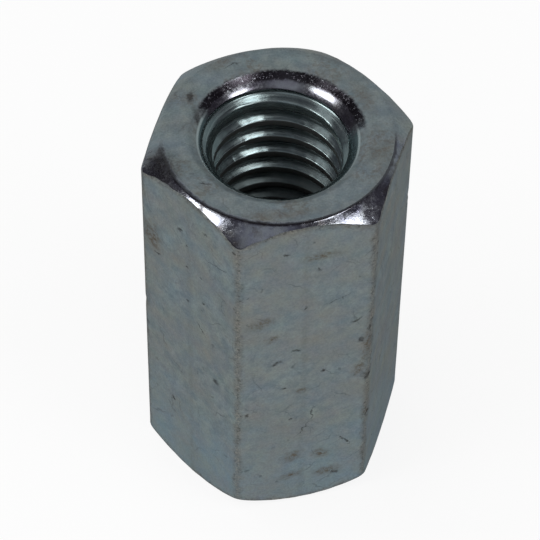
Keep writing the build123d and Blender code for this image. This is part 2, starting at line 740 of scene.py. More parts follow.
class NodeBench:
    """One node tree on the bench, with short calls that place nodes and join them."""

    def __init__(self, tree: bpy.types.NodeTree) -> None:
        """Takes the tree to work on."""
        self.tree = tree

    def place(self, kind: str, **settings: object) -> bpy.types.Node:
        """Adds one node.

        Args:
            kind: The node's type, without the word that all shader nodes begin with.
            settings: Properties to set on it.

        Returns:
            The new node.
        """
        node = self.tree.nodes.new("ShaderNode" + kind)
        for name, value in settings.items():
            setattr(node, name, value)
        return node

    def feed(self, socket: bpy.types.NodeSocket, source: Source) -> None:
        """Links a socket to an output, or sets its plain value.

        Args:
            socket: The input to feed.
            source: An output socket, or a plain number, vector or colour.
        """
        if isinstance(source, bpy.types.NodeSocket):
            self.tree.links.new(source, socket)
        else:
            socket.default_value = source

    def feed_all(self, node: bpy.types.Node, sources: dict[str, Source]) -> None:
        """Feeds several inputs of a node.

        Args:
            node: The node.
            sources: What to feed to each input, by name.
        """
        for name, source in sources.items():
            self.feed(node.inputs[name], source)

    def math(self, operation: str, first: Source, second: Source = 0.0) -> bpy.types.NodeSocket:
        """Works out one sum.

        Args:
            operation: The Math node's operation.
            first: The first value.
            second: The second value.

        Returns:
            The answer's socket.
        """
        node = self.place("Math", operation=operation)
        self.feed(node.inputs[0], first)
        self.feed(node.inputs[1], second)
        return node.outputs[0]

    def in_turn(self, operation: str, values: tuple[Source, ...]) -> bpy.types.NodeSocket:
        """Works one sum out over several values, one after the other.

        Args:
            operation: The Math node's operation.
            values: The values, at least two.

        Returns:
            The last answer's socket.
        """
        answer = values[0]
        for value in values[1:]:
            answer = self.math(operation, answer, value)
        return answer

    def plus(self, *values: Source) -> bpy.types.NodeSocket:
        """The sum of some values."""
        return self.in_turn("ADD", values)

    def minus(self, first: Source, second: Source) -> bpy.types.NodeSocket:
        """The first value less the second."""
        return self.math("SUBTRACT", first, second)

    def times(self, *values: Source) -> bpy.types.NodeSocket:
        """The product of some values."""
        return self.in_turn("MULTIPLY", values)

    def over(self, first: Source, second: Source) -> bpy.types.NodeSocket:
        """The first value divided by the second."""
        return self.math("DIVIDE", first, second)

    def most(self, *values: Source) -> bpy.types.NodeSocket:
        """The largest of some values."""
        return self.in_turn("MAXIMUM", values)

    def vector(self, operation: str, first: Source,
               second: Source = (0.0, 0.0, 0.0)) -> bpy.types.NodeSocket:
        """Works out one sum with vectors.

        Args:
            operation: The Vector Math node's operation.
            first: The first vector.
            second: The second vector, or the number to scale by.

        Returns:
            The answer's socket, a number for a length or a distance and a vector otherwise.
        """
        node = self.place("VectorMath", operation=operation)
        self.feed(node.inputs[0], first)
        self.feed(node.inputs["Scale" if operation == "SCALE" else 1], second)
        return node.outputs["Value" if operation in ("LENGTH", "DISTANCE", "DOT_PRODUCT") else "Vector"]

    def spread(self, value: Source, low: Source, high: Source, to_low: Source = 0.0,
               to_high: Source = 1.0) -> bpy.types.NodeSocket:
        """Maps one range smoothly onto another, and holds it at both ends.

        Args:
            value: What to map.
            low: The value that gives to_low.
            high: The value that gives to_high.
            to_low: What low becomes.
            to_high: What high becomes.

        Returns:
            The mapped value's socket.
        """
        node = self.place("MapRange", interpolation_type="SMOOTHSTEP")
        for index, source in enumerate((value, low, high, to_low, to_high)):
            self.feed(node.inputs[index], source)
        return node.outputs[0]

    def between(self, share: Source, none: Source, whole: Source) -> bpy.types.NodeSocket:
        """A value that goes smoothly from one to another as a share goes from 0 to 1."""
        return self.spread(share, 0.0, 1.0, none, whole)

    def texture(self, kind: str, **inputs: Source) -> bpy.types.Node:
        """Places a texture.

        Args:
            kind: The texture's type, such as Noise.
            inputs: What to feed its inputs, by name.

        Returns:
            The texture's node.
        """
        node = self.place("Tex" + kind)
        self.feed_all(node, inputs)
        return node

    def noise(self, vector: Source, scale: float, detail: float, roughness: float) -> bpy.types.NodeSocket:
        """Places a noise texture and takes its value.

        Args:
            vector: Where to read it.
            scale: How many blotches fit in one unit of the vector.
            detail: How many finer layers are added.
            roughness: How strong the finer layers are.

        Returns:
            The noise's value, about 0.5 on average.
        """
        noise = self.texture("Noise", Vector=vector, Scale=scale, Detail=detail, Roughness=roughness)
        return noise.outputs[0]

    def drift(self, vector: Source, scale: float, detail: float, roughness: float) -> bpy.types.NodeSocket:
        """Places a noise texture and takes its three values.

        Args:
            vector: Where to read it.
            scale: How many blotches fit in one unit of the vector.
            detail: How many finer layers are added.
            roughness: How strong the finer layers are.

        Returns:
            A vector whose parts wander round 0, each in its own way.
        """
        noise = self.texture("Noise", Vector=vector, Scale=scale, Detail=detail, Roughness=roughness)
        return self.vector("SUBTRACT", noise.outputs["Color"], (0.5, 0.5, 0.5))

    def mix(self, share: Source, first: Source, second: Source, mode: str = "MIX") -> bpy.types.NodeSocket:
        """Mixes two colours.

        Args:
            share: How much of the second colour to take.
            first: The first colour.
            second: The second colour.
            mode: How the colours are mixed.

        Returns:
            The mixed colour's socket.
        """
        node = self.place("Mix", data_type="RGBA", blend_type=mode)
        # The node has sockets for every sort of data, and these are the ones for colours.
        for index, source in ((0, share), (6, first), (7, second)):
            self.feed(node.inputs[index], source)
        return node.outputs[2]

    def tint(self, colour: Source, factor: Source) -> bpy.types.NodeSocket:
        """Multiplies a colour by a number or by another colour."""
        return self.mix(1.0, colour, factor, "MULTIPLY")

    def apart(self, vector: Source) -> list[bpy.types.NodeSocket]:
        """Takes a vector apart.

        Args:
            vector: The vector.

        Returns:
            Its x, y and z.
        """
        node = self.place("SeparateXYZ")
        self.feed(node.inputs[0], vector)
        return list(node.outputs)

    def together(self, x: Source, y: Source, z: Source) -> bpy.types.NodeSocket:
        """Puts a vector together.

        Args:
            x: Its first part.
            y: Its second part.
            z: Its third part.

        Returns:
            The vector.
        """
        node = self.place("CombineXYZ")
        for socket, source in zip(node.inputs, (x, y, z)):
            self.feed(socket, source)
        return node.outputs[0]


class SocketKind(Enum):
    """What a socket on the outside of an effect carries."""

    NUMBER = "NodeSocketFloat"
    VECTOR = "NodeSocketVector"


class Side(Enum):
    """A side of the nut that carries marks, by its direction in degrees round the bore."""

    FRONT_FLAT = -90.0
    LEFT_FLAT = -150.0
    UPPER_END = None


class MarkKind(Enum):
    """What a mark is, with how soft its border is, from 0 to 1."""

    SPOT = 0.65
    STAIN = 0.95
    SOOT = 0.80


@dataclass(frozen=True)
class Mark:
    """One spot, scratch, stain or patch of soot, seen square on.

    Attributes:
        across: Its middle, to the right of the side's own middle, or along +X on an end.
        up: Its middle above the lower end, or along +Y on an end.
        length: How long it is.
        width: How wide it is.
        lean: Its slant in degrees, from lying level.
    """

    across: float
    up: float
    length: float
    width: float
    lean: float = 0.0

    def frame(self, side: Side, flat_radius: float, nut_length: float) -> tuple[Vector, Matrix]:
        """Finds the mark's place and its own axes.

        Args:
            side: The side that it lies on.
            flat_radius: From the nut's axis to a flat, in the unit of the mark's sizes.
            nut_length: From end to end.

        Returns:
            The middle of the mark, and a turn whose x runs along it and y squarely out.
        """
        if side is Side.UPPER_END:
            out, up, distance = Vector((0, 0, 1)), Vector((0, 1, 0)), nut_length
        else:
            out, up, distance = toward(side.value, 0.0), Vector((0, 0, 1)), flat_radius
        right = up.cross(out)
        middle = out * distance + right * self.across + up * self.up
        lean = math.radians(self.lean)
        along = right * math.cos(lean) + up * math.sin(lean)
        return middle, Matrix((along, out, along.cross(out))).transposed()


@dataclass(frozen=True)
class Marks:
    """The marks on the sides that the photograph shows, in millimetres.

    Attributes:
        flat_radius: From the nut's axis to a flat.
        nut_length: From end to end.
        raggedness: How far the marks' borders wander.
        reach: How far above and below the surface a mark reaches.
        ALL: The marks by kind and side, each with its across, up, length, width and lean.
    """

    flat_radius: float
    nut_length: float
    raggedness: float = 0.7
    reach: float = 1.1

    ALL: ClassVar[dict[tuple[MarkKind, Side], tuple[Mark, ...]]] = {
        (MarkKind.SPOT, Side.FRONT_FLAT): (
            Mark(-1.15, 22.03, 0.32, 0.26),
            Mark(-0.05, 17.39, 0.30, 0.22, 30),
            Mark(-0.42, 13.83, 0.50, 0.22),
            Mark(-1.57, 13.03, 0.60, 0.30, 20),
            Mark(1.1, 11.71, 0.32, 0.24),
            Mark(-1.14, 10.69, 0.28, 0.26),
            Mark(-0.71, 7.86, 0.28, 0.22),
            Mark(-3.22, 8.88, 0.40, 0.28, 60),
            Mark(0.58, 20.35, 0.22, 0.18),
            Mark(1.83, 17.65, 1.64, 0.07, 24),
            Mark(0.54, 7.95, 1.35, 0.10, 83),
            Mark(0.02, 6.65, 1.60, 0.09, 56),
            Mark(2.43, 4.93, 1.60, 0.09, -56),
            Mark(2.83, 15.55, 0.70, 0.22, 35),
            Mark(3.12, 13.83, 0.50, 0.26, 80),
            Mark(1.96, 2.05, 0.50, 0.30),
            Mark(3.6, 14.65, 0.50, 0.22, 80),
            Mark(3.65, 10.4, 0.60, 0.24, 85),
            Mark(3.7, 6.91, 0.40, 0.20, 80),
        ),
        (MarkKind.STAIN, Side.FRONT_FLAT): (
            Mark(3.5, 13.2, 3.4, 0.7, 88),
            Mark(3.1, 11.4, 1.5, 0.8, 70),
            Mark(3.65, 7.3, 2.8, 0.6, 90),
            Mark(-0.07, 10.19, 0.9, 0.5, 10),
            Mark(-1.81, 15.19, 0.9, 0.5, 20),
            Mark(-2.42, 16.64, 1.6, 0.8, 12),
            Mark(0.77, 21.43, 2.2, 0.6, 3),
            Mark(-0.53, 4.3, 1.3, 0.9, 30),
            Mark(1.09, 4.07, 1.1, 0.8, -20),
            Mark(1.49, 2.3, 1.6, 0.9),
            Mark(-0.6, 2.5, 1.4, 0.6, 15),
        ),
        (MarkKind.SPOT, Side.LEFT_FLAT): (
            Mark(-0.63, 20.96, 0.50, 0.28, 25),
            Mark(-0.11, 20.12, 0.30, 0.22),
            Mark(1.29, 22.22, 0.28, 0.20),
            Mark(2.33, 20.44, 2.30, 0.06, 8),
            Mark(-2.5, 17.5, 0.65, 0.12),
            Mark(-0.14, 18.38, 0.24, 0.20),
            Mark(-0.19, 15.58, 0.24, 0.20),
            Mark(0.94, 18.35, 0.22, 0.18),
            Mark(1.07, 16.46, 0.24, 0.18),
            Mark(0.89, 14.08, 0.90, 0.08, -50),
            Mark(3.42, 22.55, 0.45, 0.14, -80),
            Mark(2.05, 10.5, 0.50, 0.40),
            Mark(-1.45, 5.7, 0.40, 0.22, -30),
        ),
        (MarkKind.STAIN, Side.LEFT_FLAT): (
            Mark(-2.9, 18.6, 1.6, 2.6),
        ),
        (MarkKind.SPOT, Side.UPPER_END): (
            Mark(-3.9, 3.65, 0.9, 0.24, 70),
            Mark(-4.45, -2.44, 0.65, 0.16, -20),
            Mark(-1.21, 5.41, 0.9, 0.09, 15),
        ),
        (MarkKind.STAIN, Side.UPPER_END): (
            Mark(-4.0, 3.5, 1.5, 0.9, 70),
            Mark(-1.4, -5.35, 4.6, 0.8, -5),
            Mark(4.9, -2.4, 2.6, 1.6, 40),
            Mark(5.0, 1.6, 2.4, 1.0, 100),
            Mark(-1.7, 5.7, 2.2, 0.7, 20),
        ),
        (MarkKind.SOOT, Side.UPPER_END): (
            Mark(-6.55, -0.65, 3.0, 2.0, -67),
            Mark(-5.02, -3.93, 0.28, 0.9, -30),
            Mark(-3.75, 2.2, 1.3, 0.5, -80),
        ),
    }

    def mask(self, bench: NodeBench, kind: MarkKind, on_end: bool,
             position: Source) -> bpy.types.NodeSocket:
        """Adds up the marks of one kind.

        Args:
            bench: The tree to build in.
            kind: The kind to gather.
            on_end: Whether to gather those on the upper end, and otherwise those on the flats.
            position: The surface's place in millimetres.

        Returns:
            A mask, 1 within a mark and 0 outside.
        """
        far_away = 9.0
        nearest: Source = far_away
        sides = (Side.UPPER_END,) if on_end else (Side.FRONT_FLAT, Side.LEFT_FLAT)
        placed = [(side, mark) for side in sides for mark in self.ALL.get((kind, side), ())]
        for side, mark in placed:
            middle, axes = mark.frame(side, self.flat_radius, self.nut_length)
            local = bench.place("Mapping", vector_type="TEXTURE")
            bench.feed_all(local, {
                "Vector": position, "Location": middle, "Rotation": tuple(axes.to_euler("XYZ")),
                "Scale": (mark.length / 2, self.reach, mark.width / 2),
            })
            nearest = bench.math("MINIMUM", nearest, bench.vector("LENGTH", local.outputs[0]))
        return bench.spread(nearest, 1.0 + kind.value / 2, 1.0 - kind.value)


class Effect(Enum):
    """An effect that several finishes share."""

    NUT_PLACES = "nut_places"
    MOTTLE = "mottle"
    SCUFFS = "scuffs"
    EDGE_WEAR = "edge_wear"
    FLAT_MARKS = "flat_marks"
    END_MARKS = "end_marks"
    CHATTER = "chatter"


class Effects:
    """The effects that several finishes share, each a node group that is built once."""

    def __init__(self, nut: NutBody) -> None:
        """Takes the nut whose sizes the effects follow.

        Args:
            nut: The nut.
        """
        self.nut = nut
        self.built: dict[Effect, bpy.types.ShaderNodeTree] = {}
        self.makers = {
            Effect.NUT_PLACES: self.nut_places, Effect.MOTTLE: self.mottle, Effect.SCUFFS: self.scuffs,
            Effect.EDGE_WEAR: self.edge_wear, Effect.FLAT_MARKS: self.flat_marks,
            Effect.END_MARKS: self.end_marks, Effect.CHATTER: self.chatter,
        }

    def open(self, effect: Effect, inputs: dict[str, SocketKind],
             outputs: dict[str, SocketKind]) -> tuple[NodeBench, bpy.types.Node, bpy.types.Node]:
        """Starts a new group.

        Args:
            effect: The effect that it is for.
            inputs: The kind of each input, by name.
            outputs: The kind of each output, by name.

        Returns:
            The bench to build it on, the node that brings the inputs in, and the one that
            takes the outputs out.
        """
        tree = bpy.data.node_groups.new(effect.value, "ShaderNodeTree")
        for direction, ports in (("INPUT", inputs), ("OUTPUT", outputs)):
            for port, kind in ports.items():
                tree.interface.new_socket(name=port, in_out=direction, socket_type=kind.value)
        self.built[effect] = tree
        return NodeBench(tree), tree.nodes.new("NodeGroupInput"), tree.nodes.new("NodeGroupOutput")

    def use(self, bench: NodeBench, effect: Effect, **inputs: Source) -> bpy.types.Node:
        """Places a group in a material, and builds it first if it is new.

        Args:
            bench: The material's tree.
            effect: The effect wanted.
            inputs: What to feed its inputs, by name.

        Returns:
            The node that holds the group.
        """
        if effect not in self.built:
            self.makers[effect]()
        node = bench.place("Group", node_tree=self.built[effect])
        bench.feed_all(node, inputs)
        return node

    def nut_places(self) -> None:
        """Where a point lies on the nut, in millimetres.

        Position is the plain place. On flat lies across and up the flat, with each flat far from the
        next. Round runs round the bore, and Along thread runs along the thread's own turns.
        """
        bench, _, out = self.open(Effect.NUT_PLACES, {}, {
            "Position": SocketKind.VECTOR, "On flat": SocketKind.VECTOR, "Round": SocketKind.VECTOR,
            "Along thread": SocketKind.VECTOR, "Radius": SocketKind.NUMBER, "Height": SocketKind.NUMBER,
            "Across": SocketKind.NUMBER,
        })
        flat_spacing, ring_radius, coil_radius, coil_spin = 13.7, 4.4, 1.9, 0.09
        thread = self.nut.thread
        position = bench.vector("SCALE", bench.place("TexCoord").outputs["Object"], 1 / MM)
        x, y, height = bench.apart(position)
        level = bench.together(x, y, 0.0)
        radius = bench.vector("LENGTH", level)

        angle = bench.plus(bench.math("ARCTAN2", y, x), math.tau)
        sector = bench.over(angle, SECTOR)
        turned = bench.times(bench.minus(bench.math("FRACT", sector), 0.5), SECTOR)
        across = bench.times(radius, bench.math("SINE", turned))
        apart_flats = bench.times(bench.math("FLOOR", sector), flat_spacing)
        on_flat = bench.together(bench.plus(across, apart_flats), height, apart_flats)

        ring = bench.vector("SCALE", bench.vector("NORMALIZE", level), ring_radius)
        round_bore = bench.vector("ADD", ring, bench.together(0.0, 0.0, radius))
        below = (self.nut.length - thread.crest_below_end) / MM
        climb = bench.over(bench.minus(height, below), thread.pitch / MM)
        started = bench.over(bench.minus(angle, math.radians(thread.crest_angle)), math.tau)
        swing = bench.times(bench.minus(climb, started), math.tau)
        coil = bench.together(bench.times(bench.math("COSINE", swing), coil_radius), 0.0,
                              bench.times(bench.math("SINE", swing), coil_radius))
        along = bench.vector("ADD", bench.vector("SCALE", level, coil_spin), coil)
        bench.feed_all(out, {
            "Position": position, "On flat": on_flat, "Round": round_bore, "Along thread": along,
            "Radius": radius, "Height": height, "Across": across,
        })

    def mottle(self) -> None:
        """The plating's uneven tone.

        Cloud is broad, Blotch small and Grain fine. Hue is a faint play of warm and cold, as a
        colour to multiply by.
        """
        bench, given, out = self.open(Effect.MOTTLE, {"Place": SocketKind.VECTOR}, {
            "Cloud": SocketKind.NUMBER, "Blotch": SocketKind.NUMBER,
            "Grain": SocketKind.NUMBER, "Hue": SocketKind.VECTOR,
        })
        warm_swing, green_swing = 0.36, 0.16
        place = given.outputs["Place"]
        warmth, change, _ = bench.apart(bench.drift(place, 0.75, 5.0, 0.62))
        hue = bench.together(bench.times(warmth, warm_swing), bench.times(change, green_swing),
                             bench.times(warmth, -warm_swing))
        bench.feed_all(out, {
            "Cloud": bench.spread(bench.noise(place, 0.36, 5.0, 0.6), 0.36, 0.64),
            "Blotch": bench.spread(bench.noise(place, 1.5, 4.0, 0.62), 0.34, 0.68),
            "Grain": bench.noise(place, 8.5, 3.0, 0.7),
            "Hue": bench.vector("ADD", hue, (1.0, 1.0, 1.0)),
        })

    def scuffs(self) -> None:
        """Light wear, here and there.

        Scratch shows short crooked scratches that run three ways, and Speck soft round specks.
        """
        bench, given, out = self.open(Effect.SCUFFS, {"Place": SocketKind.VECTOR}, {
            "Scratch": SocketKind.NUMBER, "Speck": SocketKind.NUMBER,
        })
        place = given.outputs["Place"]
        warp = bench.texture("Noise", Vector=place, Scale=1.3, Detail=3.0)
        bent = bench.vector("ADD", place, bench.vector("SCALE", warp.outputs["Color"], 0.9))
        scratch: Source = 0.0
        for turn, length, keep in ((0.6, 0.50, 0.86), (1.3, 0.38, 0.90), (2.5, 0.45, 0.88)):
            local = bench.place("Mapping")
            bench.feed_all(local, {"Vector": bent, "Rotation": (0.0, 0.0, turn)})
            stretched = bench.vector("MULTIPLY", local.outputs[0], (length, 7.0, 0.31))
            cells = bench.texture("Voronoi", Vector=stretched, Scale=1.0).outputs
            line = bench.spread(cells["Distance"], 0.42, 0.12)
            chosen = bench.spread(bench.apart(cells["Color"])[0], keep, keep + 0.08)
            scratch = bench.most(scratch, bench.times(line, chosen))
        cells = bench.texture("Voronoi", Vector=bent, Scale=1.15).outputs
        kept, sized, _ = bench.apart(cells["Color"])
        reach = bench.between(sized, 0.10, 0.22)
        dot = bench.spread(cells["Distance"], reach, bench.times(reach, 0.25))
        speck = bench.times(dot, bench.spread(kept, 0.35, 0.95))
        bench.feed_all(out, {"Scratch": scratch, "Speck": speck})

    def edge_wear(self) -> None:
        """Wear along the edges.

        Rubbed shows the patches that hands and spanners rub, and Speck the brown specks where the
        plating is thin.
        """
        bench, given, out = self.open(Effect.EDGE_WEAR, {"Place": SocketKind.VECTOR}, {
            "Rubbed": SocketKind.NUMBER, "Speck": SocketKind.NUMBER,
        })
        place = given.outputs["Place"]
        edge = bench.place("Attribute", attribute_name="edge").outputs["Fac"]
        patchy = bench.noise(place, 1.6, 5.0, 0.7)
        lifted = bench.plus(edge, bench.times(bench.minus(patchy, 0.5), 1.6))
        specks = bench.spread(bench.noise(place, 4.6, 4.0, 0.75), 0.52, 0.64)
        bench.feed_all(out, {
            "Rubbed": bench.spread(lifted, 0.25, 1.1),
            "Speck": bench.times(specks, bench.spread(lifted, 0.3, 0.9)),
        })

    def flat_marks(self) -> None:
        """The marks on the flats, at their own places."""
        self.gather_marks(Effect.FLAT_MARKS, False, (MarkKind.SPOT, MarkKind.STAIN))

    def end_marks(self) -> None:
        """The marks on the upper end, at their own places."""
        self.gather_marks(Effect.END_MARKS, True, tuple(MarkKind))

    def gather_marks(self, effect: Effect, on_end: bool, kinds: tuple[MarkKind, ...]) -> None:
        """Builds a group that shows marks at their own places.

        Args:
            effect: The effect that it is for.
            on_end: Whether they are on the upper end, and otherwise on the flats.
            kinds: The kinds to show, each by an output of its own.
        """
        outputs = {kind.name.title(): SocketKind.NUMBER for kind in kinds}
        bench, given, out = self.open(effect, {"Place": SocketKind.VECTOR}, outputs)
        marks = Marks(self.nut.bar.flat_radius / MM, self.nut.length / MM)
        place = given.outputs["Place"]
        shift = bench.vector("SCALE", bench.drift(place, 2.6, 4.0, 0.65), marks.raggedness)
        bent = bench.vector("ADD", place, shift)
        for kind in kinds:
            bench.feed(out.inputs[kind.name.title()], marks.mask(bench, kind, on_end, bent))

    def chatter(self) -> None:
        """What a blunt tool leaves on a turned wall.

        Height rises in soft ripples and, where the wall is torn, in small grains. Patch shows the
        torn patches, and Smear the broad smears.
        """
        bench, given, out = self.open(Effect.CHATTER, {
            "Round": SocketKind.VECTOR, "Place": SocketKind.VECTOR, "Torn": SocketKind.NUMBER,
        }, {
            "Height": SocketKind.NUMBER, "Patch": SocketKind.NUMBER, "Smear": SocketKind.NUMBER,
        })
        place = given.outputs["Place"]
        round_bore = bench.vector("MULTIPLY", given.outputs["Round"], (1.0, 1.0, 0.6))
        ripple = bench.noise(round_bore, 2.0, 2.0, 0.5)
        patch = bench.spread(bench.noise(place, 1.9, 3.0, 0.65), 0.38, 0.62)
        torn = bench.times(given.outputs["Torn"], bench.plus(bench.times(patch, 0.75), 0.25))
        grains = bench.spread(bench.noise(place, 7.0, 2.0, 0.55), 0.56, 0.68, 0.0, 0.7)
        grains = bench.plus(grains, bench.times(bench.noise(place, 12.0, 2.0, 0.55), 0.3))
        bench.feed_all(out, {
            "Height": bench.plus(bench.times(ripple, 0.35), bench.times(grains, torn)),
            "Patch": patch,
            "Smear": bench.spread(bench.noise(place, 0.8, 3.0, 0.6), 0.36, 0.64),
        })


@dataclass(frozen=True)
class DrawnFinish:
    """The matt plated flats, as the drawing die left them.

    Attributes:
        pale: The plating's lighter clouds.
        dull: The plating's darker clouds.
        warm: The cast that some clouds have.
        blue: The cast that the lower part of each flat has.
        brown: Stains and thin plating along the edges.
        dark: Spots, pits and scratches.
        rubbed: The pale flecks along the very edges.
        metal: How metallic the surface is.
        rim: How bright its reflections are where it is seen nearly edge on.
        sheen: How strong the shine of its film is.
        film: The film's index of refraction.
        scratch: How dark the scratches are.
        speck: How dark the specks are.
        grain: The grain's darkest and lightest tone.
        grain_height: How deep the grain is.
    """

    pale: Colour = (0.208, 0.252, 0.264, 1.0)
    dull: Colour = (0.152, 0.182, 0.192, 1.0)
    warm: Colour = (0.190, 0.198, 0.190, 1.0)
    blue: Colour = (0.176, 0.232, 0.262, 1.0)
    brown: Colour = (0.112, 0.096, 0.076, 1.0)
    dark: Colour = (0.030, 0.028, 0.028, 1.0)
    rubbed: Colour = (0.300, 0.292, 0.262, 1.0)
    metal: float = 0.6
    rim: Colour = (0.18, 0.18, 0.18, 1.0)
    sheen: float = 0.15
    film: float = 1.2
    scratch: float = 0.28
    speck: float = 0.42
    grain: tuple[float, float] = (0.91, 1.11)
    grain_height: float = 0.006 * MM


@dataclass(frozen=True)
class FacedFinish:
    """The matt plated end faces.

    Attributes:
        pale: The plating's lighter clouds.
        dull: The plating's darker clouds.
        brown: Stains.
        dark: Spots and scratches.
        metal: How metallic the surface is.
        rim: How bright its reflections are where it is seen nearly edge on.
        scratch: How dark the scratches are.
        speck: How dark the specks are.
        grain: The grain's darkest and lightest tone.
        grain_height: How deep the grain is.
    """

    pale: Colour = (0.262, 0.313, 0.329, 1.0)
    dull: Colour = (0.203, 0.242, 0.254, 1.0)
    brown: Colour = (0.160, 0.145, 0.125, 1.0)
    dark: Colour = (0.030, 0.026, 0.026, 1.0)
    metal: float = 0.6
    rim: Colour = (0.25, 0.25, 0.25, 1.0)
    scratch: float = 0.22
    speck: float = 0.30
    grain: tuple[float, float] = (0.88, 1.12)
    grain_height: float = 0.005 * MM


@dataclass(frozen=True)
class TurnedFinish:
    """A turned wall, shiny but torn.

    Attributes:
        bright: The metal where it is clean.
        violet: The metal where the plating has its violet cast.
        brown: Brown smears.
        soot: Blackened patches. The same colour paints the shade along the chamfer's foot and on the
            countersink's torn side.
        roughness: How dull the shine is.
        torn: How much of the wall the tool tore, from 0 to 1.
        tear_height: How deep the tears are.
        shiny_toward: The middle of its shiny side, in degrees round from +X. The other side
            came out of the plating bath as matt as the end face.
        shiny_reach: How far round the shiny side goes, to either side of its middle.
    """

    bright: Colour = (0.46, 0.49, 0.51, 1.0)
    violet: Colour = (0.27, 0.28, 0.36, 1.0)
    brown: Colour = (0.16, 0.14, 0.13, 1.0)
    soot: Colour = (0.068, 0.060, 0.060, 1.0)
    roughness: float = 0.11
    torn: float = 0.12
    tear_height: float = 0.020 * MM
    shiny_toward: float = -100.0
    shiny_reach: float = 84.0


@dataclass(frozen=True)
class CountersinkFinish(TurnedFinish):
    """A countersink: torn where the tool chattered, matt as the end face on the other side.

    Attributes:
        throat_highlight: A painted highlight, the bright line where the throat begins.
        rolled: The greenish metal that rolls down from there, on the matt side.
    """

    violet: Colour = (0.28, 0.27, 0.33, 1.0)
    soot: Colour = (0.068, 0.062, 0.074, 1.0)
    roughness: float = 0.14
    torn: float = 1.0
    tear_height: float = 0.010 * MM
    shiny_toward: float = 70.0
    shiny_reach: float = 72.0
    throat_highlight: Colour = (0.66, 0.76, 0.76, 1.0)
    rolled: Colour = (0.11, 0.16, 0.17, 1.0)


@dataclass(frozen=True)
class TappedFinish:
    """The thread, burnished along its flanks, with painted shade on its ridges and deep in the bore.

    Attributes:
        flank: The flanks' greenish metal.
        deep: The flanks' darker streaks.
        ridge: The torn tops of the ridges, darkened as painted shade.
        metal: How metallic the flanks are near the ends.
        deep_metal: How metallic they are deep in the bore, where their colour is darkened as painted shade.
        ridge_metal: How metallic the ridges are.
        roughness: How dull the shine is.
        bottom: The share of its colour that is left deep in the bore, as painted shade.
        shading_depths: How deep the painted shade starts, and how deep it is darkest, in millimetres.
        streak_height: How deep the streaks are.
    """

    flank: Colour = (0.38, 0.46, 0.46, 1.0)
    deep: Colour = (0.19, 0.25, 0.26, 1.0)
    ridge: Colour = (0.15, 0.16, 0.16, 1.0)
    metal: float = 0.94
    deep_metal: float = 0.72
    ridge_metal: float = 0.80
    roughness: float = 0.21
    bottom: float = 0.44
    shading_depths: tuple[float, float] = (4.5, 9.0)
    streak_height: float = 0.005 * MM


@dataclass(frozen=True)
class Look:
    """How a stretch of metal looks.

    Attributes:
        colour: Its colour.
        roughness: How dull its shine is.
        height: Its height map.
    """

    colour: Source
    roughness: Source
    height: Source


@dataclass(frozen=True)
class Blank:
    """A material that has just been started.

    Attributes:
        material: The material.
        bench: Its tree.
        shader: Its surface shader.
        places: The node that gives places on the nut.
    """

    material: bpy.types.Material
    bench: NodeBench
    shader: bpy.types.Node
    places: bpy.types.Node

    @property
    def position(self) -> bpy.types.NodeSocket:
        """The surface's place, in millimetres."""
        return self.places.outputs["Position"]

    def finish(self, look: Look, depth: float, metal: Source | None = None) -> bpy.types.Material:
        """Dresses the surface.

        Args:
            look: Its colour, roughness and height map.
            depth: How far a height of 1 stands above one of 0.
            metal: How metallic it is, where that varies over the surface.

        Returns:
            The material.
        """
        bump = self.bench.place("Bump")
        self.bench.feed_all(bump, {"Strength": 1.0, "Distance": depth, "Height": look.height})
        self.bench.feed_all(self.shader, {
            "Base Color": look.colour, "Roughness": look.roughness, "Normal": bump.outputs[0],
        })
        if metal is not None:
            self.bench.feed(self.shader.inputs["Metallic"], metal)
        return self.material


